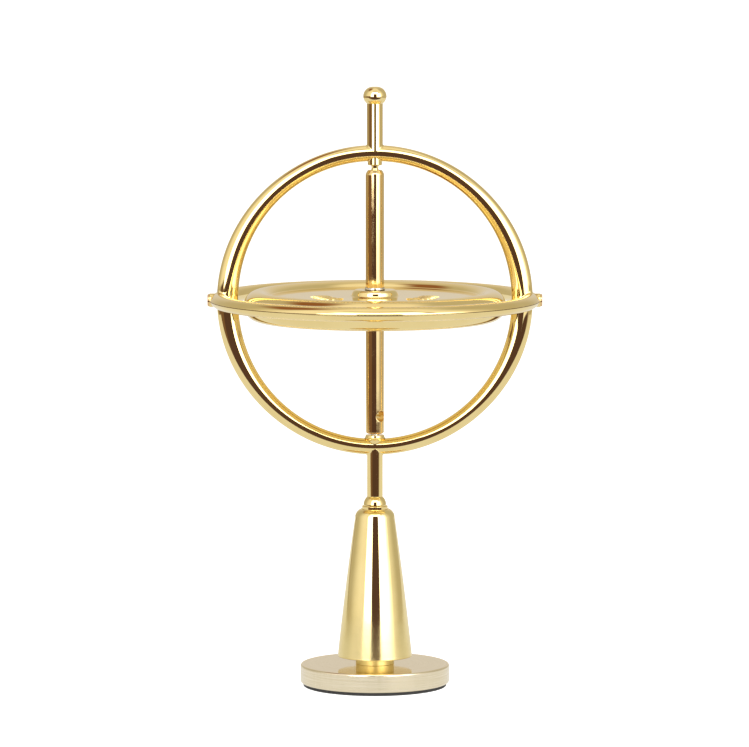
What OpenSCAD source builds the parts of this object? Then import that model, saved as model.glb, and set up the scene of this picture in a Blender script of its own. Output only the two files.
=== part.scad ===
// Toy gyroscope in a two-ring cage, standing by its lower ball on a conical pedestal.
// Millimetres, +Z up, origin at the centre of the resting face. The upright ring lies in the XZ plane.

/* [Pedestal] */
// Diameter of the base disc
base_d = 31.2; // [28:0.1:36]
// Thickness of the base disc
base_t = 3.9; // [3.4:0.1:5]
// Thickness of the black pad under the disc
pad_t = 0.7; // [0.4:0.1:1]
// Diameter of the cone at its foot
foot_d = 15.6; // [14:0.1:18]
// Height of the undercut between the foot and the disc
foot_gap = 1.6; // [1.2:0.1:2]
// Diameter of the neck that carries the cone on the disc
neck_d = 8; // [6:0.1:12]
// Diameter of the cone just below its shoulder
shoulder_d = 8.3; // [7.6:0.1:9]
// Height of the ball's centre above the base disc
ball_rise = 33.5; // [28:0.5:40]

/* [Ball and stems] */
// Diameter of the ball that turns in the pedestal's cup
ball_d = 4.8; // [4.6:0.1:5]
// Diameter of the two stems outside the upright ring
stem_d = 3.3; // [3.1:0.05:3.34]
// Distance from the ball's centre to the outside of the upright ring
lower_stem_l = 10.55; // [9:0.05:14]
// Distance from the outside of the upright ring to the middle of the top knob
upper_stem_l = 10.15; // [9:0.05:14]
// Diameter of the top knob
knob_d = 4.85; // [4.6:0.05:5.4]
// Height of the top knob, which is a little flattened
knob_h = 3.9; // [3.6:0.05:4.4]

/* [Cage] */
// Radius of the upright ring's centre line
ring_r = 30.75; // [30.5:0.05:31.5]
// Thickness of the upright ring at its poles
ring_t = 3.36; // [3.36:0.02:3.6]
// Radial thickness of the upright ring where the level ring crosses it
ring_pad_t = 4.42; // [4.3:0.02:4.5]
// Radius of the level ring's centre line
hoop_r = 32.5; // [32.5:0.05:33]
// Height of the level ring's oval section
hoop_t = 3; // [2.9:0.05:3.2]
// Width of the level ring's oval section, from the inner crease to the outer one
hoop_w = 3.98; // [3.6:0.02:4]
// Diameter of the lugs at the two ends of the level ring
lug_d = 2.86; // [2.6:0.02:2.86]

/* [Flywheel and axle] */
// Diameter of the flywheel
wheel_d = 54.8; // [50:0.1:55]
// Diameter of the round bead that is the flywheel's rim
rim_d = 6.2; // [5:0.1:6.4]
// Thickness of the web between the rim and the hub
web_t = 3.9; // [3:0.1:4.4]
// Diameter of the hub boss at its foot
boss_d = 9.6; // [9:0.1:11]
// Height of the hub boss above the web
boss_h = 1.4; // [1:0.05:2]
// How far the flywheel's middle lies below the cage's middle
wheel_drop = 1.08; // [0.6:0.02:1.6]
// Diameter of the axle
axle_d = 3.85; // [3.6:0.05:3.9]
// End play of the axle, all of it at the top
end_play = 1; // [0.6:0.05:1.2]
// Diameter of the cross hole that takes the pull string
string_hole_d = 2.2; // [1.8:0.1:2.3]
// Height of the string hole above the axle's lower end
string_hole_rise = 3.7; // [3.6:0.1:6]
// Direction that the string hole faces, seen from above
string_hole_turn = -45; // [-60:5:-30]

/* [Hidden] */
$fn = 96;
eps = 0.01;

// heights
disc_z = pad_t;
disc_top_z = disc_z + base_t;
ball_z = disc_top_z + ball_rise;
ring_out = ring_r + ring_t / 2;
ring_in = ring_r - ring_t / 2;
cage_z = ball_z + lower_stem_l + ring_out;
knob_z = cage_z + ring_out + upper_stem_l;
wheel_z = cage_z - wheel_drop;
upper_line_z = cage_z + ring_r;
lower_line_z = cage_z - ring_r;

// pedestal
foot_z = disc_top_z + foot_gap;
cup_r = 2.7;
cup_top_z = ball_z - 0.15;
cup_floor_z = ball_z - 3.5;
cup_clearance = 0.03;
socket_r = cup_r;
lip_h = 0.35;
socket_lip_r = cup_r + lip_h;
foot_edge = 0.1;
shoulder_r = 2;
cone_top_z = ball_z - 0.5;
shoulder_z = cone_top_z - shoulder_r;
screw_d = 3.2;
screw_head_d = 6;
screw_head_h = 1.7;
screw_tip_z = disc_top_z + 7;

// bearings
shank_r = 1.15;
pin_r = 0.8;
pin_clearance = 0.04;
upper_flange_r = 1.48;
upper_flange_h = 0.8;
lower_flange_r = 2.25;
lower_flange_top_r = 1.9;
lower_flange_h = 0.75;
lower_boss_r = 1.6;
saddle_room = 0.02;
upper_flange_z = cage_z + ring_in - 0.06;
lower_flange_z = cage_z - ring_in + 0.11;
stud_gap = 0.1;
thrust_gap = 0.05;

// axle
axle_bottom_z = lower_flange_z + lower_flange_h + 0.32;
axle_top_z = upper_flange_z - upper_flange_h - end_play;
string_hole_z = axle_bottom_z + string_hole_rise;
lower_pin_hole = 2;
upper_pin_hole = 4;
upper_tip_z = axle_top_z + end_play + 1.45;
lower_tip_z = lower_line_z - stud_gap + thrust_gap;
axle_chamfer = 0.25;
axle_chamfer_l = 0.7;

// flywheel
rim_r = wheel_d / 2;
bead_r = rim_d / 2;
bead_line_r = rim_r - bead_r;
web_half_t = web_t / 2;
boss_top_r = boss_d / 2 - 0.5;
boss_edge_r = 0.55;
boss_top_z = wheel_z + web_half_t + boss_h;
collar_wall = 0.18;
collar_r = axle_d / 2 + collar_wall;
collar_h = 0.45;

// crossing of the two rings
pad_out = ring_r + ring_pad_t / 2;
hoop_out = hoop_r + hoop_w / 2;
hoop_arc_r = (pow(hoop_w, 2) + pow(hoop_t, 2)) / (4 * hoop_t);
lug_end = hoop_out + 0.06;
rivet_r = 0.75;
rivet_head_r = 1.3;
rivet_head_h = 0.35;
slot_clearance = 0.02;

// Points of an arc in a lathe profile, from angle a0 to a1
function arc(x, y, r, a0, a1, steps = 8) =
    [for (i = [0 : steps]) let (a = a0 + (a1 - a0) * i / steps) [x + r * cos(a), y + r * sin(a)]];

// Half the radial thickness of the upright ring, at an angle from the level of the crossing
function ring_half(a) = ring_t / 2 + (ring_pad_t - ring_t) / 2 * pow(cos(a), 4);

// Disc with both edges rounded
module rounded_disc(r, h, edge) {
    rotate_extrude()
        polygon(concat([[0, 0]], arc(r - edge, edge, edge, -90, 0), arc(r - edge, h - edge, edge, 0, 90), [[0, h]]));
}

// The round bar of the upright ring as it is at its poles, with some room round it
module pole_torus(room = 0) {
    translate([0, 0, cage_z])
        rotate([90, 0, 0])
            rotate_extrude()
                translate([ring_r, 0])
                    circle(d = ring_t + 2 * room);
}

// Ring bar whose section grows towards the crossings
module tapered_ring(steps = 96, sides = 20) {
    rings = [for (i = [0 : steps - 1])
        let (a = 360 * i / steps, h = ring_half(a))
            for (j = [0 : sides - 1])
                let (b = 360 * j / sides, r = ring_r + h * cos(b))
                    [r * cos(a), ring_t / 2 * sin(b), r * sin(a)]];
    faces = [for (i = [0 : steps - 1], j = [0 : sides - 1])
        let (n = (i + 1) % steps, m = (j + 1) % sides)
            [i * sides + j, i * sides + m, n * sides + m, n * sides + j]];
    polyhedron(rings, faces, convexity = 4);
}

module base_pad() {
    color([0.05, 0.05, 0.05])
        cylinder(r = base_d / 2 - 0.6, h = pad_t);
}

module base_disc() {
    color([0.86, 0.78, 0.58])
        difference() {
            translate([0, 0, disc_z])
                rounded_disc(base_d / 2, base_t, 0.4);
            translate([0, 0, disc_z - eps])
                cylinder(d = screw_d, h = base_t + 1);
            translate([0, 0, disc_z - eps])
                cylinder(d = screw_head_d, h = screw_head_h + eps);
        }
}

module base_screw() {
    color([0.6, 0.6, 0.6])
        difference() {
            union() {
                translate([0, 0, disc_z])
                    cylinder(d = screw_head_d, h = screw_head_h);
                translate([0, 0, disc_z])
                    cylinder(d = screw_d, h = screw_tip_z - disc_z);
            }
            translate([0, 0, disc_z - eps])
                cylinder(d = 2.6, h = 1, $fn = 6);
        }
}

module pedestal_cone() {
    side_x = shoulder_d / 2;
    color([0.85, 0.7, 0.3])
        difference() {
            rotate_extrude()
                polygon(concat([[0, disc_top_z], [neck_d / 2, disc_top_z], [neck_d / 2, foot_z]],
                               [[foot_d / 2 - foot_edge, foot_z], [foot_d / 2, foot_z + foot_edge]],
                               arc(side_x - shoulder_r, shoulder_z, shoulder_r, 8, 90),
                               [[0, cone_top_z]]));
            translate([0, 0, cup_floor_z])
                cylinder(r = socket_r, h = ball_rise);
            translate([0, 0, cone_top_z - lip_h])
                cylinder(r1 = socket_r, r2 = socket_lip_r + eps, h = lip_h + eps);
            translate([0, 0, disc_top_z - eps])
                cylinder(d = screw_d, h = screw_tip_z - disc_top_z + 1);
        }
}

module cup_insert() {
    color([0.83, 0.68, 0.3])
        difference() {
            translate([0, 0, cup_floor_z])
                cylinder(r = cup_r, h = cup_top_z - cup_floor_z);
            translate([0, 0, ball_z])
                sphere(r = ball_d / 2 + cup_clearance);
        }
}

module lower_ball() {
    color([0.85, 0.72, 0.32])
        translate([0, 0, ball_z])
            sphere(d = ball_d);
}

module lower_stem() {
    color([0.8, 0.62, 0.25])
        difference() {
            union() {
                difference() {
                    translate([0, 0, ball_z])
                        cylinder(d = stem_d, h = lower_line_z - ball_z);
                    pole_torus();
                }
                translate([0, 0, lower_line_z - ring_t])
                    cylinder(r = shank_r, h = ring_t - stud_gap);
            }
            translate([0, 0, ball_z])
                sphere(r = ball_d / 2 + cup_clearance);
        }
}

module lower_bearing() {
    color([0.78, 0.6, 0.26])
        difference() {
            union() {
                translate([0, 0, lower_flange_z])
                    cylinder(r1 = lower_flange_r, r2 = lower_flange_top_r, h = lower_flange_h);
                difference() {
                    translate([0, 0, lower_line_z])
                        cylinder(r = lower_boss_r, h = lower_flange_z - lower_line_z + eps);
                    pole_torus(saddle_room);
                }
                translate([0, 0, lower_line_z])
                    cylinder(r = shank_r, h = lower_flange_z - lower_line_z + eps);
            }
            translate([0, 0, lower_line_z - eps])
                cylinder(r = pin_r + pin_clearance, h = ring_t);
        }
}

module upright_ring() {
    color([0.84, 0.66, 0.26])
        difference() {
            translate([0, 0, cage_z])
                tapered_ring();
            translate([0, 0, cage_z - ring_r - ring_t])
                cylinder(r = shank_r, h = 2 * ring_t);
            translate([0, 0, cage_z + ring_r - ring_t])
                cylinder(r = shank_r, h = 2 * ring_t);
            for (side = [-1, 1])
                translate([side * ring_r - ring_pad_t, 0, cage_z])
                    rotate([0, 90, 0])
                        cylinder(r = rivet_r, h = 2 * ring_pad_t);
        }
}

// Ring turned from one of the two arcs of the level ring's section, upper for 1 and lower for -1
module hoop_arc(way) {
    translate([0, 0, cage_z])
        rotate_extrude()
            translate([hoop_r, way * (hoop_t / 2 - hoop_arc_r)])
                circle(r = hoop_arc_r);
}

module level_ring() {
    slot_w = ring_t + 2 * slot_clearance;
    color([0.86, 0.72, 0.36])
        difference() {
            union() {
                intersection() {
                    hoop_arc(1);
                    hoop_arc(-1);
                }
                for (side = [-1, 1])
                    translate([0, 0, cage_z])
                        rotate([0, side * 90, 0])
                            translate([0, 0, hoop_r])
                                cylinder(d = lug_d, h = lug_end - hoop_r);
            }
            translate([-pad_out - slot_clearance, -slot_w / 2, cage_z - hoop_t])
                cube([2 * (pad_out + slot_clearance), slot_w, 2 * hoop_t]);
            translate([-hoop_out - 1, 0, cage_z])
                rotate([0, 90, 0])
                    cylinder(r = rivet_r, h = 2 * hoop_out + 2);
        }
}

// Rivet that holds the two rings together, on the side of +X or -X
module rivet(side) {
    color([0.82, 0.6, 0.4])
        translate([0, 0, cage_z])
            rotate([0, side * 90, 0]) {
                translate([0, 0, ring_r - ring_pad_t / 2 + 0.1])
                    cylinder(r = rivet_r, h = lug_end + rivet_head_h / 2 - ring_r + ring_pad_t / 2 - 0.1);
                translate([0, 0, lug_end])
                    cylinder(r = rivet_head_r, h = rivet_head_h);
            }
}

module left_rivet() {
    rivet(-1);
}

module right_rivet() {
    rivet(1);
}

module upper_bearing() {
    color([0.78, 0.6, 0.26])
        difference() {
            union() {
                difference() {
                    translate([0, 0, upper_flange_z - upper_flange_h])
                        cylinder(r = upper_flange_r, h = upper_line_z - upper_flange_z + upper_flange_h);
                    pole_torus(saddle_room);
                }
                translate([0, 0, upper_flange_z - eps])
                    cylinder(r = shank_r, h = upper_line_z - upper_flange_z + eps);
            }
            translate([0, 0, upper_flange_z - ring_t])
                cylinder(r = pin_r + pin_clearance, h = 2 * ring_t);
        }
}

module upper_stem() {
    color([0.82, 0.64, 0.26])
        union() {
            difference() {
                translate([0, 0, upper_line_z])
                    cylinder(d = stem_d, h = knob_z - knob_h / 4 - upper_line_z);
                pole_torus();
            }
            translate([0, 0, upper_line_z + stud_gap])
                cylinder(r = shank_r, h = ring_t);
        }
}

// Flattened knob, bored for the end of the upper stem
module top_knob() {
    round_r = knob_h / 2;
    color([0.85, 0.7, 0.3])
        difference() {
            translate([0, 0, knob_z])
                rotate_extrude()
                    polygon(concat([[0, -round_r]], arc(knob_d / 2 - round_r, 0, round_r, -90, 90, 24), [[0, round_r]]));
            translate([0, 0, knob_z - knob_h])
                cylinder(d = stem_d, h = 3 / 4 * knob_h);
        }
}

// Half of the profile of the flywheel's web and hub, from the axle out along the upper face
function web_top() = concat(
    [[0, web_half_t + boss_h]],
    arc(boss_top_r - boss_edge_r, web_half_t + boss_h - boss_edge_r, boss_edge_r, 90, 0, 6),
    [[boss_d / 2, web_half_t], [bead_line_r, web_half_t]]);

module flywheel() {
    upper = web_top();
    last = len(upper) - 1;
    color([0.85, 0.7, 0.32])
        difference() {
            union() {
                translate([0, 0, wheel_z])
                    rotate_extrude()
                        polygon(concat(upper, [for (i = [last : -1 : 0]) [upper[i].x, -upper[i].y]]));
                translate([0, 0, wheel_z])
                    rotate_extrude()
                        translate([bead_line_r, 0])
                            circle(r = bead_r);
            }
            translate([0, 0, wheel_z - rim_d])
                cylinder(d = axle_d, h = 2 * rim_d);
        }
}

module hub_collar() {
    color([0.7, 0.66, 0.6])
        difference() {
            translate([0, 0, boss_top_z])
                cylinder(r = collar_r, h = collar_h);
            translate([0, 0, boss_top_z - eps])
                cylinder(d = axle_d, h = 2 * collar_h);
        }
}

module axle() {
    r = axle_d / 2;
    color([0.78, 0.56, 0.24])
        difference() {
            rotate_extrude()
                polygon([[0, axle_bottom_z], [r - axle_chamfer, axle_bottom_z], [r, axle_bottom_z + axle_chamfer],
                         [r, axle_top_z - axle_chamfer_l], [r - axle_chamfer, axle_top_z], [0, axle_top_z]]);
            translate([0, 0, axle_bottom_z - eps])
                cylinder(r = pin_r, h = lower_pin_hole + eps);
            translate([0, 0, axle_top_z - upper_pin_hole])
                cylinder(r = pin_r, h = upper_pin_hole + eps);
            translate([0, 0, string_hole_z])
                rotate([0, 90, string_hole_turn])
                    cylinder(d = string_hole_d, h = 2 * axle_d, center = true);
        }
}

// Pivot pin with a blunt point, its point up
module pivot(length) {
    cylinder(r = pin_r, h = length - 0.3);
    translate([0, 0, length - 0.3])
        cylinder(r1 = pin_r, r2 = pin_r - 0.3, h = 0.3);
}

module upper_pivot() {
    color([0.75, 0.72, 0.65])
        translate([0, 0, axle_top_z - upper_pin_hole])
            pivot(upper_tip_z - axle_top_z + upper_pin_hole);
}

module lower_pivot() {
    color([0.75, 0.72, 0.65])
        translate([0, 0, axle_bottom_z + lower_pin_hole])
            mirror([0, 0, 1])
                pivot(axle_bottom_z + lower_pin_hole - lower_tip_z);
}

base_pad();
base_disc();
base_screw();
pedestal_cone();
cup_insert();
lower_ball();
lower_stem();
lower_bearing();
upright_ring();
level_ring();
left_rivet();
right_rivet();
upper_bearing();
upper_stem();
top_knob();
flywheel();
hub_collar();
axle();
upper_pivot();
lower_pivot();
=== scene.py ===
from math import acos, atan2, cos, pi, radians, sin, sqrt, tan

import bmesh
import bpy
import numpy as np
from mathutils import Matrix, Vector


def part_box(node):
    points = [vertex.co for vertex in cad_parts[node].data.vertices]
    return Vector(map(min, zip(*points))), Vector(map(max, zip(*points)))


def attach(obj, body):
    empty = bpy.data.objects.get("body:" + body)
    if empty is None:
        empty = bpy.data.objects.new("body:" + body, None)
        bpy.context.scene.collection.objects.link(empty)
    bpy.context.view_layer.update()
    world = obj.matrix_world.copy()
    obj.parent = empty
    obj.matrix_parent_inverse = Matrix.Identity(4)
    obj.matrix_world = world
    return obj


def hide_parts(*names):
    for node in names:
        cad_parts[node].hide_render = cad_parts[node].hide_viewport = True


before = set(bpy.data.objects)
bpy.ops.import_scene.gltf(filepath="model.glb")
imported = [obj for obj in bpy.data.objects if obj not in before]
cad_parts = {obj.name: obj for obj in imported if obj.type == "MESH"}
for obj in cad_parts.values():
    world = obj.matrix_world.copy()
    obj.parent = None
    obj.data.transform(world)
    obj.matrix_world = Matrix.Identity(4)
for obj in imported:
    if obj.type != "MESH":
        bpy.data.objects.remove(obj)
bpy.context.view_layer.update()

MM = 0.001
LATHE_STEPS = 192
SMALL_STEPS = 96
HOOP_STEPS = 384
WHEEL_STEPS = 288

# ---------------------------------------------------------------- sizes, from the frame, in millimetres


def span(node):
    """Lowest and highest corner of a CAD node, in millimetres."""
    low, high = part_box(node)
    return low / MM, high / MM


ring_low, ring_high = span("upright_ring")
cage_z = (ring_low.z + ring_high.z) / 2
bar_r = (ring_high.y - ring_low.y) / 2
ring_r = (ring_high.z - ring_low.z) / 2 - bar_r
pad_out = ring_high.x
pad_half = pad_out - ring_r

hoop_low, hoop_high = span("level_ring")
hoop_half_h = (hoop_high.z - hoop_low.z) / 2
# half the level ring's width: in the frame its box also takes in the lugs
hoop_half_w = 1.99
hoop_r = hoop_high.y - hoop_half_w
hoop_arc_r = (hoop_half_w**2 + hoop_half_h**2) / (2 * hoop_half_h)
lug_end = hoop_high.x

wheel_low, wheel_high = span("flywheel")
wheel_r = wheel_high.x
wheel_z = (wheel_low.z + wheel_high.z) / 2
boss_half = (wheel_high.z - wheel_low.z) / 2

axle_low, axle_high = span("axle")
axle_r = axle_high.x
disc_low, disc_high = span("base_disc")
cone_low, cone_high = span("pedestal_cone")
cup_low, cup_high = span("cup_insert")
ball_low, ball_high = span("lower_ball")
rivet_low, rivet_high = span("right_rivet")
upper_low, upper_high = span("upper_bearing")
pivot_low, pivot_high = span("upper_pivot")
collar_low, collar_high = span("hub_collar")
pad_high = span("base_pad")[1]
knob_high = span("top_knob")[1]
lower_high = span("lower_bearing")[1]
stem_r = span("lower_stem")[1].x

ball_z = (ball_low.z + ball_high.z) / 2
ball_r = ball_high.x
# clearance round the ball, in the cup and in the stem's foot
ball_gap = 0.03
# half the knob's height
knob_half_h = 1.95
knob_z = knob_high.z - knob_half_h
pivot_r = pivot_high.x
# height of the neck between the disc and the cone's underside
neck_h = 1.6
# radius of the screw's shank and height of its head, the same as for their holes
screw_r = 1.6
screw_head_h = 1.7

# ---------------------------------------------------------------- mesh helpers


def rounded(corners, steps=10, hold=0.03):
    """Outline through (x, y, radius) corners, with points beside each round that hold the flats flat.

    Neighbours wrap round, so an open outline starts and ends with a corner of radius 0.
    """
    points = []
    for i, (x, y, radius) in enumerate(corners):
        if radius == 0:
            points.append((x, y))
            continue
        corner = Vector((x, y))
        back = (Vector(corners[i - 1][:2]) - corner).normalized()
        ahead = (Vector(corners[(i + 1) % len(corners)][:2]) - corner).normalized()
        half = back.angle(ahead) / 2
        cut = radius / tan(half)
        centre = corner + (back + ahead).normalized() * radius / sin(half)
        start, end = corner + back * cut - centre, corner + ahead * cut - centre
        turn = start.angle_signed(end)
        points.append(tuple(corner + back * (cut + hold)))
        for k in range(steps + 1):
            a = -turn * k / steps
            points.append(
                (
                    centre.x + start.x * cos(a) - start.y * sin(a),
                    centre.y + start.x * sin(a) + start.y * cos(a),
                )
            )
        points.append(tuple(corner + ahead * (cut + hold)))
    return points


def grid(rows, close_rows=True, close_columns=False):
    """Faces over rows of points; close_columns also joins the last row to the first."""
    rows = np.asarray(rows, float)
    n, m = rows.shape[:2]
    verts = rows.reshape(-1, 3)
    faces = []
    for i in range(n if close_columns else n - 1):
        above = (i + 1) % n
        for j in range(m if close_rows else m - 1):
            beside = (j + 1) % m
            faces.append((i * m + j, i * m + beside, above * m + beside, above * m + j))
    return verts, faces


def turned(profile, closed=False, steps=LATHE_STEPS):
    """Body of revolution about Z from (radius, height) points."""
    angles = np.linspace(0, 2 * pi, steps, endpoint=False)
    r, z = np.array(profile).T
    rows = np.stack(
        [np.outer(r, np.cos(angles)), np.outer(r, np.sin(angles)), np.outer(z, np.ones(steps))],
        axis=2,
    )
    return grid(rows, close_columns=closed)


def placed(shape, matrix):
    """The same shape, moved by a matrix."""
    verts, faces = shape
    m = np.array(matrix, float)
    return verts @ m[:3, :3].T + m[:3, 3], faces


def joined(*shapes):
    """Several shapes in one mesh."""
    verts, faces, count = [], [], 0
    for v, f in shapes:
        verts.append(v)
        faces += [tuple(i + count for i in face) for face in f]
        count += len(v)
    return np.concatenate(verts), faces


def piece(name, shape, material, body, slot, *nodes):
    """Makes the object, in metres, lets it ride on its body and stand for the CAD nodes."""
    verts, faces = shape
    mesh = bpy.data.meshes.new(name)
    mesh.from_pydata([tuple(v * MM) for v in np.asarray(verts)], [], faces)
    bm = bmesh.new()
    bm.from_mesh(mesh)
    bmesh.ops.remove_doubles(bm, verts=bm.verts, dist=1e-7)
    bmesh.ops.dissolve_degenerate(bm, edges=bm.edges, dist=1e-8)
    bmesh.ops.recalc_face_normals(bm, faces=bm.faces)
    for face in bm.faces:
        face.smooth = True
    bm.to_mesh(mesh)
    bm.free()
    mesh.materials.append(material)
    obj = bpy.data.objects.new(name, mesh)
    bpy.context.scene.collection.objects.link(obj)
    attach(obj, body)
    if nodes:
        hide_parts(*nodes)
    return obj


# ---------------------------------------------------------------- materials


class Nodes:
    """Short forms for building a node tree."""

    def __init__(self, tree):
        self.tree = tree

    def add(self, kind, **values):
        node = self.tree.nodes.new(kind)
        for key, value in values.items():
            setattr(node, key, value)
        return node

    def link(self, output, socket):
        self.tree.links.new(output, socket)

    def math(self, operation, a, b=None, clamp=False):
        node = self.add("ShaderNodeMath", operation=operation, use_clamp=clamp)
        for socket, value in zip(node.inputs, (a, b)):
            if value is None:
                continue
            if isinstance(value, (int, float)):
                socket.default_value = value
            else:
                self.link(value, socket)
        return node.outputs[0]

    def ramp(self, value, low, high, to_low=0.0, to_high=1.0, kind="SMOOTHSTEP"):
        node = self.add("ShaderNodeMapRange", interpolation_type=kind)
        self.link(value, node.inputs["Value"])
        for name, number in zip(("From Min", "From Max", "To Min", "To Max"), (low, high, to_low, to_high)):
            node.inputs[name].default_value = number
        return node.outputs["Result"]

    def noise(self, vector, scale, detail=2.0, rough=0.5):
        node = self.add("ShaderNodeTexNoise")
        self.link(vector, node.inputs["Vector"])
        node.inputs["Scale"].default_value = scale
        node.inputs["Detail"].default_value = detail
        node.inputs["Roughness"].default_value = rough
        return node.outputs["Fac"]

    def bump(self, height, distance, strength=1.0, normal=None):
        node = self.add("ShaderNodeBump")
        node.inputs["Strength"].default_value = strength
        node.inputs["Distance"].default_value = distance
        self.link(height, node.inputs["Height"])
        if normal is not None:
            self.link(normal, node.inputs["Normal"])
        return node.outputs["Normal"]

    def mix(self, factor, a, b):
        node = self.add("ShaderNodeMix", data_type="RGBA")
        self.link(factor, node.inputs["Factor"])
        for socket, colour in ((node.inputs[6], a), (node.inputs[7], b)):
            if isinstance(colour, tuple):
                socket.default_value = (*colour, 1)
            else:
                self.link(colour, socket)
        return node.outputs[2]


def new_material(name):
    material = bpy.data.materials.new(name)
    material.use_nodes = True
    shader = material.node_tree.nodes["Principled BSDF"]
    n = Nodes(material.node_tree)
    place = n.add("ShaderNodeTexCoord").outputs["Object"]
    return material, shader, n, place


def plated(name, tint, deep, roughness=0.03, wave=8e-6, scratch=2.5e-7):
    """Mirror-polished plating: slow waves, fine wiping marks and a tone that drifts a little."""
    material, shader, n, place = new_material(name)
    shader.inputs["Metallic"].default_value = 1
    drift = n.noise(place, 90, 3)
    n.link(n.mix(n.ramp(drift, 0.35, 0.65), tint, deep), shader.inputs["Base Color"])
    haze = n.noise(place, 420, 4, 0.6)
    n.link(n.ramp(haze, 0.3, 0.75, roughness * 0.7, roughness * 1.8), shader.inputs["Roughness"])
    waves = n.bump(n.noise(place, 170, 1), wave)
    fine = n.bump(n.noise(place, 2600, 3, 0.7), scratch, normal=waves)
    n.link(fine, shader.inputs["Normal"])
    return material


def turned_plating(name, tint, deep, foot, low_z, high_z, satin, polish, groove=5e-6):
    """Plating over a lathe-turned body: fine grooves, strong at low_z and polished out by high_z.

    The neck, below foot, is duller, and its more yellow tint is a painted reflection of the gold disc top.
    """
    material, shader, n, place = new_material(name)
    shader.inputs["Metallic"].default_value = 1
    split = n.add("ShaderNodeSeparateXYZ")
    n.link(place, split.inputs[0])
    height = split.outputs["Z"]
    wobble = n.math("MULTIPLY", n.math("SUBTRACT", n.noise(place, 220, 3), 0.5), 0.012)
    turned_share = n.ramp(n.math("ADD", height, wobble), low_z, high_z, 1.0, 0.0)
    stretched = n.add("ShaderNodeMapping")
    stretched.inputs["Scale"].default_value = (70, 70, 9000)
    n.link(place, stretched.inputs["Vector"])
    rings = n.noise(stretched.outputs[0], 1, 4, 0.65)
    plating = n.mix(n.ramp(n.noise(place, 120, 3), 0.35, 0.65), tint, deep)
    neck = n.ramp(height, foot - 5e-5, foot, 1.0, 0.0)
    # the neck's more yellow tint is a painted reflection of the gold disc top; its added roughness below is
    # the duller finish
    n.link(n.mix(neck, plating, NECK_GOLD_PAINTED_REFLECTION), shader.inputs["Base Color"])
    rough = n.math("ADD", n.math("MULTIPLY", turned_share, satin - polish), polish)
    rough = n.math("ADD", rough, n.math("MULTIPLY", neck, 0.25))
    spread = n.math("MULTIPLY", n.math("SUBTRACT", rings, 0.5), 0.18)
    n.link(n.math("ADD", rough, n.math("MULTIPLY", spread, turned_share)), shader.inputs["Roughness"])
    relief = n.math("MULTIPLY", rings, n.math("ADD", n.math("MULTIPLY", turned_share, 0.95), 0.05))
    waves = n.bump(n.noise(place, 140, 1), 6e-6)
    n.link(n.bump(relief, groove, normal=waves), shader.inputs["Normal"])
    return material


def satin_disc(name, tint, deep):
    """Champagne plating over circular brushing: rings on the faces and the rim, and faint streaks."""
    material, shader, n, place = new_material(name)
    shader.inputs["Metallic"].default_value = 1
    split = n.add("ShaderNodeSeparateXYZ")
    n.link(place, split.inputs[0])
    radius = n.math(
        "SQRT",
        n.math("ADD", n.math("POWER", split.outputs["X"], 2), n.math("POWER", split.outputs["Y"], 2)),
    )
    turn = n.math("ARCTAN2", split.outputs["Y"], split.outputs["X"])
    joined_up = n.add("ShaderNodeCombineXYZ")
    n.link(n.math("MULTIPLY", radius, 5200), joined_up.inputs["X"])
    n.link(n.math("MULTIPLY", turn, 1.3), joined_up.inputs["Y"])
    n.link(n.math("MULTIPLY", split.outputs["Z"], 4200), joined_up.inputs["Z"])
    rings = n.noise(joined_up.outputs[0], 1, 3, 0.6)
    streaks = n.add("ShaderNodeCombineXYZ")
    n.link(n.math("MULTIPLY", turn, 60), streaks.inputs["X"])
    n.link(n.math("MULTIPLY", split.outputs["Z"], 150), streaks.inputs["Y"])
    uprights = n.noise(streaks.outputs[0], 1, 3, 0.6)
    grain = n.math("ADD", n.math("MULTIPLY", rings, 0.7), n.math("MULTIPLY", uprights, 0.3))
    n.link(n.mix(n.ramp(grain, 0.35, 0.65), tint, deep), shader.inputs["Base Color"])
    satin = n.ramp(grain, 0.3, 0.7, 0.13, 0.26)
    on_top = n.ramp(split.outputs["Z"], disc_high.z * MM - 2e-4, disc_high.z * MM - 5e-5, 1.0, 0.32)
    n.link(n.math("MULTIPLY", satin, on_top), shader.inputs["Roughness"])
    n.link(n.bump(grain, 5e-6), shader.inputs["Normal"])
    return material


def steel(name, tint):
    material, shader, n, place = new_material(name)
    shader.inputs["Metallic"].default_value = 1
    marks = n.noise(place, 1800, 4, 0.7)
    dark = tuple(0.8 * c for c in tint)
    n.link(n.mix(n.ramp(marks, 0.35, 0.65), tint, dark), shader.inputs["Base Color"])
    n.link(n.ramp(marks, 0.3, 0.7, 0.16, 0.32), shader.inputs["Roughness"])
    n.link(n.bump(marks, 1e-6), shader.inputs["Normal"])
    return material


def foam(name):
    """Black foam with fine cells."""
    material, shader, n, place = new_material(name)
    cells = n.add("ShaderNodeTexVoronoi")
    cells.inputs["Scale"].default_value = 3200
    n.link(place, cells.inputs["Vector"])
    from_cell = cells.outputs["Distance"]
    tone = n.mix(n.ramp(from_cell, 0.0, 0.7), (0.012, 0.012, 0.013), (0.035, 0.034, 0.033))
    n.link(tone, shader.inputs["Base Color"])
    n.link(n.ramp(from_cell, 0.0, 0.8, 0.8, 0.95), shader.inputs["Roughness"])
    n.link(n.bump(from_cell, 4e-5), shader.inputs["Normal"])
    return material


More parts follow.
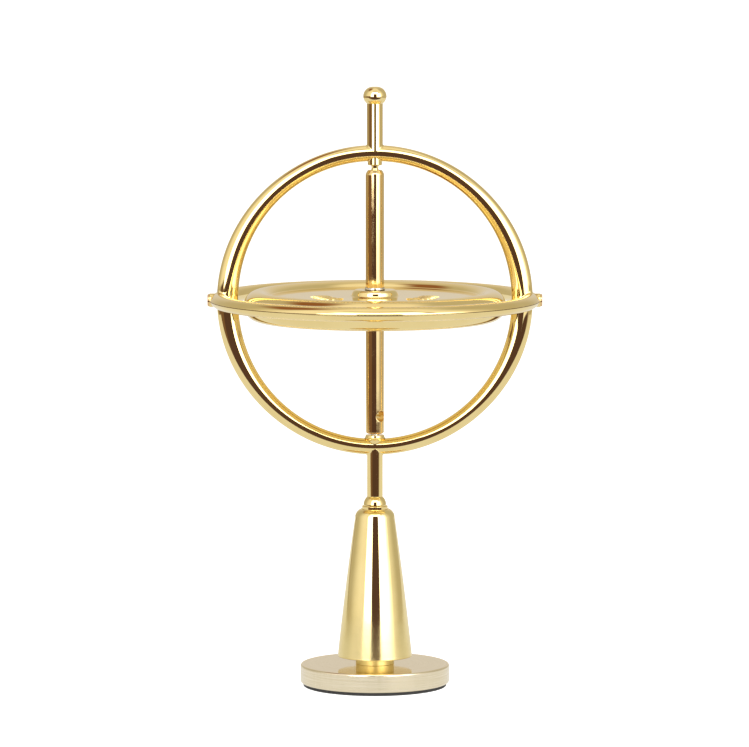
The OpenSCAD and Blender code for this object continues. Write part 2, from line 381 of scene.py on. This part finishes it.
GOLD = (0.93, 0.75, 0.36)
# neck tint, more yellow than the cone: a painted reflection of the gold disc top
NECK_GOLD_PAINTED_REFLECTION = (0.95, 0.76, 0.3)
GOLD_DEEP = (0.9, 0.71, 0.32)
gold = plated("polished_gold", GOLD, GOLD_DEEP)
ring_gold = plated("ring_gold", GOLD, GOLD_DEEP, wave=1.9e-5)
# painted dark line: brown plating for the band in the level ring's parting line, standing for the crease's
# dark reflection
crease_painted_dark = plated("crease_painted_dark", (0.2, 0.11, 0.05), (0.14, 0.08, 0.04), roughness=0.2)
wheel_gold = plated("wheel_gold", GOLD, GOLD_DEEP, roughness=0.035, wave=1.4e-5)
axle_gold = plated("axle_gold", (0.9, 0.69, 0.35), (0.86, 0.64, 0.3), roughness=0.05, wave=6e-6)
rivet_gold = plated("rivet_gold", (0.88, 0.62, 0.36), (0.82, 0.55, 0.3), roughness=0.12, wave=1.5e-5)
cone_gold = turned_plating(
    "cone_gold",
    (0.93, 0.77, 0.38),
    (0.9, 0.73, 0.34),
    foot=(cone_low.z + neck_h) * MM,
    low_z=(cone_low.z + 2) * MM,
    high_z=0.0215,
    satin=0.2,
    polish=0.045,
)
base_gold = satin_disc("base_gold", (0.9, 0.8, 0.6), (0.84, 0.73, 0.52))
pivot_steel = steel("pivot_steel", (0.74, 0.7, 0.64))
screw_steel = steel("screw_steel", (0.6, 0.6, 0.6))
pad_foam = foam("pad_foam")

# ---------------------------------------------------------------- pedestal


def make_pad():
    pad_r, pad_z = pad_high.x, pad_high.z
    outline = rounded([(0, 0, 0), (pad_r, 0, 0.15), (pad_r, pad_z, 0.1), (0, pad_z, 0)], 4)
    piece("pad_disc", turned(outline), pad_foam, "pedestal", "pad", "base_pad")


def make_disc():
    """Satin disc with a stepped hole for the screw."""
    disc_r, recess_r, edge = disc_high.x, 3.0, 0.4
    recess_z = disc_low.z + screw_head_h
    outline = [
        (screw_r, recess_z, 0.05),
        (recess_r, recess_z, 0.05),
        (recess_r, disc_low.z, 0.1),
        (disc_r, disc_low.z, edge),
        (disc_r, disc_high.z, edge),
        (screw_r, disc_high.z, 0.05),
    ]
    plate = turned(rounded(outline, 8), closed=True)
    piece("base_plate", plate, base_gold, "pedestal", "base_gold", "base_disc")


def make_cone():
    """Turned column: neck, flat underside, slightly bulging side, arc shoulder, and a socket for the cup."""
    foot_r, neck_r, socket_r, bulge = cone_high.x, 4.0, cup_high.x, 0.14
    side_r, shoulder_r, lip_r = 4.18, 2.0, socket_r + 0.3
    foot_z, shoulder_z = cone_low.z + neck_h, cone_high.z - shoulder_r
    corners = [
        (neck_r, cone_low.z, 0),
        (neck_r, cone_low.z + 0.1, 0),
        (neck_r, foot_z, 0.15),
        (foot_r, foot_z, 0.14),
        (side_r, shoulder_z, 0),
    ]
    foot = [point for point in rounded(corners, 6) if point[1] < foot_z + 0.5]
    start_r, start_z = foot[-1]
    side = []
    for t in np.linspace(0.02, 1, 40):
        r = start_r + (side_r - start_r) * t + 4 * bulge * t * (1 - t)
        side.append((r, start_z + (shoulder_z - start_z) * t))
    last = acos((lip_r - side_r + shoulder_r) / shoulder_r)
    for a in np.linspace(radians(9), last, 24):
        side.append((side_r - shoulder_r + shoulder_r * cos(a), shoulder_z + shoulder_r * sin(a)))
    lip_z = side[-1][1]
    inside = rounded(
        [
            (*side[-1], 0),
            (socket_r, lip_z - 0.3, 0.1),
            (socket_r, cup_low.z, 0.05),
            (screw_r, cup_low.z, 0.05),
            (screw_r, cone_low.z, 0.05),
            (*foot[0], 0),
        ],
        4,
    )
    cone = turned(foot + side + inside[1:-1], closed=True)
    piece("cone_body", cone, cone_gold, "pedestal", "cone_gold", "pedestal_cone")


def make_cup():
    """Collar whose seat follows the ball, a little clear of it."""
    cup_r, seat_r, rise = cup_high.x, ball_r + ball_gap, cup_high.z - ball_z
    rim = sqrt(seat_r**2 - rise**2)
    last = atan2(rise, rim) - 0.03
    seat = [(seat_r * cos(a), ball_z + seat_r * sin(a)) for a in np.linspace(-pi / 2, last, 24)]
    outline = [(rim, cup_high.z, 0), (cup_r, cup_high.z, 0.1), (cup_r, cup_low.z, 0.05), (0, cup_low.z, 0)]
    outside = rounded(outline, 6)
    piece("cup", turned(seat + outside[1:]), gold, "pedestal", "polished_gold", "cup_insert")


def make_ball():
    angles = np.linspace(-pi / 2, pi / 2, 65)
    piece(
        "ball",
        turned([(ball_r * cos(a), ball_z + ball_r * sin(a)) for a in angles]),
        gold, "ball", "polished_gold", "lower_ball",
    )


# ---------------------------------------------------------------- cage


def bar_half(angle):
    """Half the radial thickness of the upright ring, at an angle from the crossing."""
    return bar_r + (pad_half - bar_r) * np.cos(angle) ** 4


def meniscus(distance, reach):
    """Height of a concave fillet at a distance from the wall that it runs up."""
    d = np.clip(distance, 0, reach)
    return reach - np.sqrt(np.maximum(reach**2 - (reach - d) ** 2, 0))


def make_upright_ring():
    """Ring of round bar, thicker at the crossings, with a rippled fillet where it meets the level ring."""
    dense = np.radians(np.linspace(1.2, 6.5, 70))
    coarse = np.radians(np.linspace(7.5, 90, 110))
    quarter = np.concatenate([[0], dense, coarse])
    half = np.concatenate([quarter, pi - quarter[-2::-1]])
    angles = np.concatenate([half, half[1:-1] + pi])
    section = np.linspace(0, 2 * pi, 72, endpoint=False)
    a, b = np.meshgrid(angles, section, indexing="ij")
    across, depth = bar_half(a), np.full_like(a, bar_r)
    fillet, share, near = 0.55, 0.9, 4
    # the fillet thickens the bar, which changes the distance to the hoop, so a few passes settle it
    for _ in range(3):
        r = ring_r + across * np.cos(b)
        x, y, z = r * np.cos(a), depth * np.sin(b), r * np.sin(a)
        side, level = np.sign(x), np.sign(z)
        from_line = np.hypot(x, y) - hoop_r
        to_hoop = np.hypot(from_line, np.abs(z) + hoop_arc_r - hoop_half_h) - hoop_arc_r
        ripple = 0.8 + 0.25 * np.sin(5 * b + 3 * side + 1.7 * level) + 0.2 * np.sin(11 * b + 2 * level)
        raised = np.where(np.abs(z) < near, meniscus(to_hoop, fillet * ripple), 0)
        across, depth = bar_half(a) + raised * share, bar_r + raised * share
    rows = np.stack([x, y, z + cage_z], axis=2)
    piece("upright_bar", grid(rows, close_columns=True), ring_gold, "cage", "ring_gold", "upright_ring")


def oval(half_w, half_h, edge):
    """Section of two shallow arcs that meet in creases: a fine parting line outside, a round inside."""
    w, h = half_w - edge, half_h - edge
    arc_r = (w * w + h * h) / (2 * h)
    tilt = acos(w / arc_r)
    top_r = arc_r + edge
    top = [(top_r * cos(a), h - arc_r + top_r * sin(a)) for a in np.linspace(tilt, pi - tilt, 40)]
    inner = [(-w - edge * cos(a), -edge * sin(a)) for a in np.linspace(-tilt, tilt, 9)]
    under = [(-x, -z) for x, z in top[1:-1]]
    line_w, line_d, lip_d, lip_w = 0.085, 0.16, 0.02, 0.12
    parting = [(half_w - line_d, -0.25 * line_w), (half_w - line_d, 0.25 * line_w)]
    lip = [(half_w - lip_d - t * lip_w, line_w + t * lip_w * sin(tilt)) for t in (0.0, 0.3)]
    outer = [(x, -z) for x, z in reversed(lip)] + parting + lip
    return outer + top[1:-1] + inner + under


def sideways(shape, side):
    """The same shape at the cage's middle, its Z axis turned to X for side 1 and to -X for side -1."""
    return placed(shape, Matrix.Translation((0, 0, cage_z)) @ Matrix.Rotation(side * pi / 2, 4, "Y"))


def make_level_ring():
    """Hoop with a lug at each side, and a painted dark line in its parting line that stands for the dark
    reflection along the crease.
    """
    section = oval(hoop_half_w, hoop_half_h, 0.1)
    hoop = turned([(hoop_r + x, cage_z + z) for x, z in section], closed=True, steps=HOOP_STEPS)
    crease = hoop_r + hoop_half_w
    # painted dark line in the parting line, in place of the dark reflection along the crease
    crease_painted_line = [(crease - 0.17, cage_z - 0.07), (crease - 0.07, cage_z - 0.06)]
    crease_painted_line += [(x, 2 * cage_z - z) for x, z in reversed(crease_painted_line)]
    piece("level_crease_painted_dark", turned(crease_painted_line, closed=True, steps=HOOP_STEPS), crease_painted_dark, "cage", "ring_gold")

    lug_r, edge = 1.43, 0.16
    outline = [(0, hoop_r, 0), (lug_r, hoop_r, 0), (lug_r, lug_end, edge), (0, lug_end, 0)]
    lug = turned(rounded(outline, 6), steps=SMALL_STEPS)
    ring = joined(hoop, sideways(lug, -1), sideways(lug, 1))
    piece("level_bar", ring, ring_gold, "cage", "ring_gold", "level_ring")


def make_rivets():
    """Pin through each lug, with a flattened head outside."""
    shank_r, head_r, head = 0.75, rivet_high.y, rivet_high.x
    outline = [
        (0, rivet_low.x, 0),
        (shank_r, rivet_low.x, 0.1),
        (shank_r, lug_end, 0),
        (head_r, lug_end, 0.06),
        (head_r, head, 0.18),
        (0, head, 0),
    ]
    rivet = turned(rounded(outline, 6), steps=SMALL_STEPS)
    for name, side in (("left_rivet", -1), ("right_rivet", 1)):
        piece(name + "_pin", sideways(rivet, side), rivet_gold, "cage", "rivet_gold", name)


def coped(radius, outline, up, inner, flare, steps=LATHE_STEPS):
    """Round bar along the poles' line whose end follows the upright ring's surface.

    outline gives its other rows as (radius, height). up is 1 at the upper pole and -1 at the lower one.
    inner is true inside the ring. flare is the reach of the fillet by which the bar spreads along the ring.
    """
    angles = np.linspace(0, 2 * pi, steps, endpoint=False)
    rows = [
        np.stack([r * np.cos(angles), r * np.sin(angles), np.full(steps, z)], axis=1) for r, z in outline
    ]
    side = -1 if inner else 1
    sunk = 0.02
    for t in np.linspace(1, 0, 10):
        spread = meniscus(np.full(steps, t * flare), flare) * np.cos(angles) ** 2 if flare else 0
        wide = radius + spread
        x, y = wide * np.cos(angles), wide * np.sin(angles)
        bar = np.sqrt(np.maximum(bar_r**2 - y**2, 0))
        z = np.sqrt((ring_r + side * bar) ** 2 - x**2)
        z = z + side * t * flare - (sunk * side if t == 0 else 0)
        rows.append(np.stack([x, y, cage_z + up * z], axis=1))
    verts, faces = grid(rows)
    near_centre, far_centre = len(verts), len(verts) + 1
    far_z = cage_z + up * (ring_r + side * bar_r * 0.5)
    verts = np.concatenate([verts, [[0, 0, outline[0][1]], [0, 0, far_z]]])
    last = (len(rows) - 1) * steps
    for j in range(steps):
        k = (j + 1) % steps
        if outline[0][0] > 0:
            faces.append((j, k, near_centre))
        faces.append((last + j, last + k, far_centre))
    return verts, faces


def make_stems():
    """Stem from ball to ring, its foot hollowed over the ball, and stem from ring to knob."""
    flare, margin = 0.3, 1
    gap = ball_r + ball_gap
    end_z = ball_z + sqrt(gap**2 - stem_r**2)
    last = acos((end_z - ball_z) / gap) - 0.01
    hollow = [(gap * sin(a), ball_z + gap * cos(a)) for a in np.linspace(0.02, last, 16)]
    ring_z = cage_z - ring_r - bar_r - margin
    lower = hollow[:-1] + rounded([(*hollow[-1], 0), (stem_r, end_z, 0.04), (stem_r, ring_z, 0)], 4)
    lower_bar = coped(stem_r, lower, -1, False, flare)
    piece("lower_bar", lower_bar, gold, "cage", "polished_gold", "lower_stem")

    top_z = knob_z - knob_half_h / 2
    ring_z = cage_z + ring_r + bar_r + margin
    upper = rounded([(0.01, top_z, 0), (stem_r, top_z, 0.05), (stem_r, ring_z, 0)], 4)
    upper_bar = coped(stem_r, upper, 1, False, flare)
    piece("upper_bar", upper_bar, gold, "cage", "polished_gold", "upper_stem")


def make_knob():
    """Knob with a half-round edge and a small flat above and below."""
    flat_r = knob_high.x - knob_half_h
    angles = np.linspace(-pi / 2, pi / 2, 65)
    profile = [(flat_r + knob_half_h * cos(a), knob_z + knob_half_h * sin(a)) for a in angles]
    profile = [(0, knob_z - knob_half_h)] + profile + [(0, knob_z + knob_half_h)]
    piece("knob", turned(profile), gold, "cage", "polished_gold", "top_knob")


def make_bearings():
    """Flange inside each pole of the upright ring, with a blind bore for the pivot."""
    bore, bore_h = pivot_r + 0.04, 1.0
    flange_r, flange_z, flange_h = upper_high.x, upper_low.z, 0.65
    flange = rounded(
        [
            (bore, flange_z + bore_h, 0),
            (bore, flange_z, 0.1),
            (flange_r, flange_z, 0.16),
            (flange_r, flange_z + flange_h, 0),
        ],
        6,
    )
    upper_bush = coped(flange_r, flange, 1, True, 0.15)
    piece("upper_bush", upper_bush, gold, "cage", "polished_gold", "upper_bearing")

    dish_r, dish_top_r, dish_h, boss_r = lower_high.x, 1.9, 0.75, 1.6
    top_z, dish_z = lower_high.z, lower_high.z - dish_h
    dish = rounded(
        [
            (bore, top_z - bore_h, 0),
            (bore, top_z, 0.08),
            (dish_top_r, top_z, 0.12),
            (dish_r - 0.18, dish_z + 0.22, 0.4),
            (dish_r, dish_z, 0.06),
            (boss_r, dish_z - 0.02, 0),
        ],
        6,
    )
    lower_bush = coped(boss_r, dish, -1, True, 0.0)
    piece("lower_bush", lower_bush, gold, "cage", "polished_gold", "lower_bearing")


# ---------------------------------------------------------------- rotor


def make_flywheel():
    """Disc with a round bead for a rim, a shallow web and a hub, and the ribs of the relief on the web."""
    bead_r, web, boss_r, fillet = 3.1, 1.95, 4.8, 0.5
    line_r = wheel_r - bead_r
    reach = sqrt((bead_r + fillet) ** 2 - (web + fillet) ** 2)
    meet = atan2(web + fillet, reach)
    hub = rounded(
        [
            (axle_r, boss_half, 0),
            (boss_r - 0.3, boss_half, 0.85),
            (boss_r + 0.05, web, 0.45),
            (line_r - reach, web, 0),
        ],
        12,
    )
    turns = np.linspace(-pi / 2, -meet, 8)
    hollow = [(line_r - reach + fillet * cos(a), web + fillet + fillet * sin(a)) for a in turns]
    bead = [(line_r + bead_r * cos(a), bead_r * sin(a)) for a in np.linspace(pi - meet, 0, 60)]
    upper = hub[:-1] + hollow + bead[1:]
    lower = [(r, -z) for r, z in reversed(upper[:-1])]
    profile = [(r, z + wheel_z) for r, z in upper + lower]
    wheel = turned(profile, closed=True, steps=WHEEL_STEPS)
    piece("wheel", wheel, wheel_gold, "rotor", "wheel_gold", "flywheel")

    first_turn, rib_turn, ribs_per_side = 8, 4.2, 10
    lift = Matrix.Translation((0, 0, wheel_z + web))
    ribs = []
    for side, way in ((0, -1), (pi, 1)):
        for k in range(ribs_per_side):
            turn = side + way * radians(first_turn + rib_turn * k)
            ribs.append(placed(rib(turn, k), lift))
    piece("web_ribs", joined(*ribs), wheel_gold, "rotor", "wheel_gold")


def rib(turn, k):
    """One short radial rib of the relief: a low rounded bar, whose length varies with its number."""
    inner, outer, width, height = 9.3 + 0.5 * (k % 3), 13.6 - 0.8 * (k % 2), 0.55, 0.3
    section = np.linspace(-0.3, pi + 0.3, 13)
    rows = []
    for t in np.linspace(0, 1, 11):
        swell = sin(pi * t) ** 0.35 if 0 < t < 1 else 0.02
        r = inner + (outer - inner) * t
        rows.append([(r, -width / 2 * swell * cos(c), height * swell * sin(c)) for c in section])
    return placed(grid(rows), Matrix.Rotation(turn, 4, "Z"))


def make_axle():
    """Rod with a drilled band low down and a blind bore at each end, and the collar above the hub."""
    r, low, high, pin = axle_r, axle_low.z, axle_high.z, pivot_r
    hole_z, hole_r, hole_turn, bevel = low + 3.7, 1.1, -pi / 4, 0.12
    band_half_h, bore_h, shoulder_h, shoulder_w, foot_edge = 2, 1.5, 0.75, 0.45, 0.25
    top = rounded(
        [
            (r, hole_z + band_half_h, 0),
            (r, high - shoulder_h, 0.9),
            (r - shoulder_w, high, 0.2),
            (pin, high, 0),
            (pin, high - bore_h, 0),
            (0, high - bore_h, 0),
        ],
        5,
    )
    bottom = rounded(
        [
            (0, low + bore_h, 0),
            (pin, low + bore_h, 0),
            (pin, low, 0),
            (r - foot_edge, low, 0.1),
            (r, low + foot_edge, 0.1),
            (r, hole_z - band_half_h, 0),
        ],
        5,
    )
    band = drilled_band(r, hole_z, band_half_h, hole_r, bevel, hole_turn)
    piece("axle_rod", joined(turned(bottom), band, turned(top)), axle_gold, "rotor", "axle_gold", "axle")

    wide = collar_high.x
    outline = [
        (r, collar_low.z, 0.02),
        (wide, collar_low.z, 0.04),
        (wide - 0.05, collar_high.z, 0.12),
        (r, collar_high.z, 0.02),
    ]
    collar = turned(rounded(outline, 5), closed=True)
    piece("collar", collar, pivot_steel, "rotor", "pivot_steel", "hub_collar")


def make_pivots():
    """Pin in each end of the axle; the upper one has a waist above the axle's end."""
    pin, axle_end, waist, point = pivot_r, axle_high.z, 0.12, 0.3
    upper = rounded(
        [
            (0, pivot_low.z, 0),
            (pin, pivot_low.z, 0.1),
            (pin, axle_end - 0.1, 0),
            (pin - waist, axle_end + 0.35, 0.5),
            (pin, axle_end + 1.0, 0.3),
            (pin, pivot_high.z - point, 0.1),
            (pin - point, pivot_high.z, 0.1),
            (0, pivot_high.z, 0),
        ],
        5,
    )
    piece("upper_pin", turned(upper, steps=SMALL_STEPS), gold, "rotor", "pivot_steel", "upper_pivot")

    low, high = span("lower_pivot")
    lower = rounded(
        [
            (0, low.z, 0),
            (pin - point, low.z, 0.1),
            (pin, low.z + point, 0.1),
            (pin, high.z, 0.1),
            (0, high.z, 0),
        ],
        5,
    )
    piece("lower_pin", turned(lower, steps=SMALL_STEPS), pivot_steel, "rotor", "pivot_steel", "lower_pivot")


def drilled_band(r, mid_z, half_h, hole_r, bevel, turn):
    """Band of the axle with a round cross hole through it, its mouths a little rounded."""
    per_side = 48
    edge = []
    for i in range(4):
        for k in range(per_side):
            s = -1 + 2 * k / per_side
            edge.append([(1, s), (-s, 1), (-1, -s), (s, -1)][i])
    edge = np.array(edge)
    way = np.arctan2(edge[:, 1], edge[:, 0])
    border = np.stack([edge[:, 0] * pi / 2 * r, edge[:, 1] * half_h], axis=1)
    mouth = hole_r + bevel
    mouth_uv = np.stack([r * np.arcsin(mouth * np.cos(way) / r), mouth * np.sin(way)], axis=1)
    rows = []
    # from the band's border, unrolled, to the mouth of the hole
    for t in np.linspace(0, 1, 17) ** 1.4:
        uv = border + (mouth_uv - border) * t
        a = uv[:, 0] / r
        rows.append(np.stack([r * np.cos(a), r * np.sin(a), uv[:, 1]], axis=1))
    # round the mouth's edge, then down the hole to the axle's middle
    for c in np.linspace(0, pi / 2, 7)[1:]:
        w = hole_r + bevel * (1 - sin(c))
        y, z = w * np.cos(way), w * np.sin(way)
        deep = np.sqrt(r**2 - y**2) - bevel * (1 - cos(c))
        rows.append(np.stack([deep, y, z], axis=1))
    y, z = hole_r * np.cos(way), hole_r * np.sin(way)
    for t in (0.75, 0.5, 0.25, 0.0):
        rows.append(np.stack([(np.sqrt(r**2 - y**2) - bevel) * t, y, z], axis=1))
    half = grid(rows)
    lift = Matrix.Translation((0, 0, mid_z))
    front = placed(half, lift @ Matrix.Rotation(turn, 4, "Z"))
    back = placed(half, lift @ Matrix.Rotation(turn + pi, 4, "Z"))
    return joined(front, back)


def make_screw():
    """Screw from beneath, with a plain round socket in its head."""
    low, high = span("base_screw")
    head_r, socket_r, socket_h, tip = high.x, 1.3, 1.0, 0.4
    outline = [
        (0, low.z + socket_h, 0),
        (socket_r, low.z + socket_h, 0.05),
        (socket_r, low.z, 0.1),
        (head_r, low.z, 0.2),
        (head_r, low.z + screw_head_h, 0.05),
        (screw_r, low.z + screw_head_h, 0.05),
        (screw_r, high.z - tip, 0.1),
        (screw_r - tip, high.z, 0.1),
        (0, high.z, 0),
    ]
    screw = turned(rounded(outline, 5), steps=SMALL_STEPS)
    piece("screw", screw, screw_steel, "pedestal", "screw_steel", "base_screw")


make_pad()
make_disc()
make_cone()
make_cup()
make_screw()
make_ball()
make_upright_ring()
make_level_ring()
make_rivets()
make_stems()
make_knob()
make_bearings()
make_flywheel()
make_axle()
make_pivots()

# ---------------------------------------------------------------- studio


def stage_mesh(name, shape, material):
    """A mesh of the studio, in metres."""
    mesh = bpy.data.meshes.new(name)
    verts, faces = shape
    mesh.from_pydata([tuple(v) for v in verts], [], faces)
    mesh.materials.append(material)
    obj = bpy.data.objects.new(name, mesh)
    bpy.context.scene.collection.objects.link(obj)
    return obj


def sheet(x0, x1, y0, y1):
    return [(x0, y0, 0), (x1, y0, 0), (x1, y1, 0), (x0, y1, 0)], [(0, 1, 2, 3)]


def make_floor():
    """The pale floor that the camera sees, and the nearer table top that only the metal shows."""
    material, shader = new_material("floor_white")[:2]
    shader.inputs["Base Color"].default_value = (0.45, 0.45, 0.45, 1)
    shader.inputs["Roughness"].default_value = 0.9
    shader.inputs["Emission Color"].default_value = (1, 1, 1, 1)
    shader.inputs["Emission Strength"].default_value = 0.93
    floor = stage_mesh("floor", sheet(-12, 12, -12, 12), material)
    floor.visible_glossy = False

    material, shader = new_material("table_white")[:2]
    shader.inputs["Base Color"].default_value = (0, 0, 0, 1)
    shader.inputs["Specular IOR Level"].default_value = 0
    shader.inputs["Emission Color"].default_value = (1, 1, 0.98, 1)
    shader.inputs["Emission Strength"].default_value = 0.84
    table = stage_mesh("table_top", sheet(-0.45, 0.45, -0.14, 0.9), material)
    table.location.z = 0.00002
    for way in ("camera", "diffuse", "shadow", "transmission"):
        setattr(table, "visible_" + way, False)


def window(n, value, low, high, soft, soft_high=None):
    """1 between low and high, falling off over soft on each side."""
    soft_high = soft if soft_high is None else soft_high
    rise = n.ramp(value, low - soft, low + soft)
    return n.math("MULTIPLY", rise, n.ramp(value, high - soft_high, high + soft_high, 1.0, 0.0))


def bearing(n, x, y):
    """Direction round the object in degrees: 0 towards the camera, positive to its right."""
    return n.math("MULTIPLY", n.math("ARCTAN2", x, n.math("MULTIPLY", y, -1)), 180 / pi)


def make_light_boxes():
    """Screens on a ring round the object: one each side of a narrow dark gap, and one above to bridge it."""
    distance, low, top, low_turn, high_turn = 0.7, -0.035, 1.2, -60, 85
    turns = np.radians(np.linspace(low_turn, high_turn, 85))
    rows = [[(distance * sin(t), -distance * cos(t), z) for t in turns] for z in (low, top)]
    material = bpy.data.materials.new("light_boxes")
    material.use_nodes = True
    n = Nodes(material.node_tree)
    material.node_tree.nodes.clear()
    split = n.add("ShaderNodeSeparateXYZ")
    n.link(n.add("ShaderNodeTexCoord").outputs["Object"], split.inputs[0])
    x, y, z = split.outputs
    turn = bearing(n, x, y)
    # windows in degrees round the object, and in metres of height
    left = n.math("MULTIPLY", window(n, turn, -40, -12.6, 1.0, 1.0), window(n, z, 0.056, 0.62, 0.005, 0.06))
    right = n.math("MULTIPLY", window(n, turn, 19, 60, 1.2, 16), window(n, z, -0.02, 0.62, 0.005, 0.06))
    bridge = n.math("MULTIPLY", window(n, turn, -34, 40, 8), window(n, z, 0.5, 1.08, 0.03, 0.1))
    mask = n.math("MAXIMUM", n.math("MAXIMUM", left, right), bridge)
    glow = n.add("ShaderNodeEmission")
    glow.inputs["Color"].default_value = (1, 1, 0.98, 1)
    n.link(n.ramp(z, 0.0, 0.08, 1.1, 3.8), glow.inputs["Strength"])
    mix = n.add("ShaderNodeMixShader")
    n.link(mask, mix.inputs["Fac"])
    n.link(n.add("ShaderNodeBsdfTransparent").outputs[0], mix.inputs[1])
    n.link(glow.outputs[0], mix.inputs[2])
    n.link(mix.outputs[0], n.add("ShaderNodeOutputMaterial").inputs["Surface"])
    verts, faces = grid(rows, close_rows=False)
    boxes = stage_mesh("light_boxes", (verts, faces), material)
    boxes.visible_camera = False
    boxes.visible_shadow = False


def make_world():
    """The room as the metal shows it: tan walls, dim towards the camera, a brown corner up on the left.

    The camera itself sees plain white.
    """
    world = bpy.data.worlds.new("studio")
    world.use_nodes = True
    bpy.context.scene.world = world
    n = Nodes(world.node_tree)
    world.node_tree.nodes.clear()
    split = n.add("ShaderNodeSeparateXYZ")
    n.link(n.add("ShaderNodeTexCoord").outputs["Generated"], split.inputs[0])
    x, y, z = split.outputs
    turn = bearing(n, x, y)
    # turn and lift are in degrees
    lift = n.math("MULTIPLY", n.math("ARCSINE", z), 180 / pi)
    away = n.math("ABSOLUTE", turn)

    top, left_wall, right_wall = (0.98, 0.92, 0.82), (0.42, 0.34, 0.22), (0.56, 0.51, 0.42)
    room, dark, pale = (0.56, 0.52, 0.42), (0.1, 0.056, 0.046), (0.72, 0.66, 0.56)
    brown, corner, haze = (0.2, 0.115, 0.07), (0.3, 0.13, 0.06), (1.05, 1.01, 0.94)
    open_side = n.math("MAXIMUM", n.ramp(away, 58, 80), n.ramp(lift, 44, 60))
    colour = n.mix(open_side, dark, room)
    colour = n.mix(n.ramp(away, 140, 175), colour, pale)
    colour = n.mix(n.ramp(lift, 60, 76), colour, top)
    low = n.ramp(lift, -2.5, -0.5, 1.0, 0.0)
    colour = n.mix(n.math("MULTIPLY", low, window(n, turn, -165, -94, 12, 9)), colour, left_wall)
    colour = n.mix(n.math("MULTIPLY", low, window(n, turn, -94, -38, 9, 2)), colour, brown)
    colour = n.mix(n.math("MULTIPLY", low, window(n, turn, 60, 165, 8, 12)), colour, right_wall)
    upper = n.ramp(lift, -0.5, 1.5)
    beside = n.math("MAXIMUM", window(n, turn, -88, -38, 28, 2), window(n, turn, 50, 84, 6, 26))
    colour = n.mix(n.math("MULTIPLY", upper, beside), colour, haze)
    high_left = n.math("MULTIPLY", window(n, turn, -152, -88, 12, 12), window(n, lift, 48, 72, 7))
    colour = n.mix(high_left, colour, corner)

    seen = n.add("ShaderNodeBackground")
    n.link(colour, seen.inputs["Color"])
    plain = n.add("ShaderNodeBackground")
    plain.inputs["Color"].default_value = (1, 1, 1, 1)
    choose = n.add("ShaderNodeMixShader")
    n.link(n.add("ShaderNodeLightPath").outputs["Is Camera Ray"], choose.inputs["Fac"])
    n.link(seen.outputs[0], choose.inputs[1])
    n.link(plain.outputs[0], choose.inputs[2])
    n.link(choose.outputs[0], n.add("ShaderNodeOutputWorld").inputs["Surface"])


def make_camera():
    """Long lens, a little above the cage, level with the object's axis."""
    distance, height, pitch, lens = 1.14675, 0.18383, 5.88, 265.4
    data = bpy.data.cameras.new("camera")
    data.sensor_width, data.sensor_fit, data.lens = 36, "HORIZONTAL", lens
    data.clip_start, data.clip_end = 0.05, 60
    camera = bpy.data.objects.new("camera", data)
    camera.location = (-0.00008, -distance, height)
    camera.rotation_euler = (radians(90 - pitch), 0, 0)
    bpy.context.scene.collection.objects.link(camera)
    bpy.context.scene.camera = camera


make_floor()
make_light_boxes()
make_world()
make_camera()
bpy.context.scene.view_settings.view_transform = "Standard"
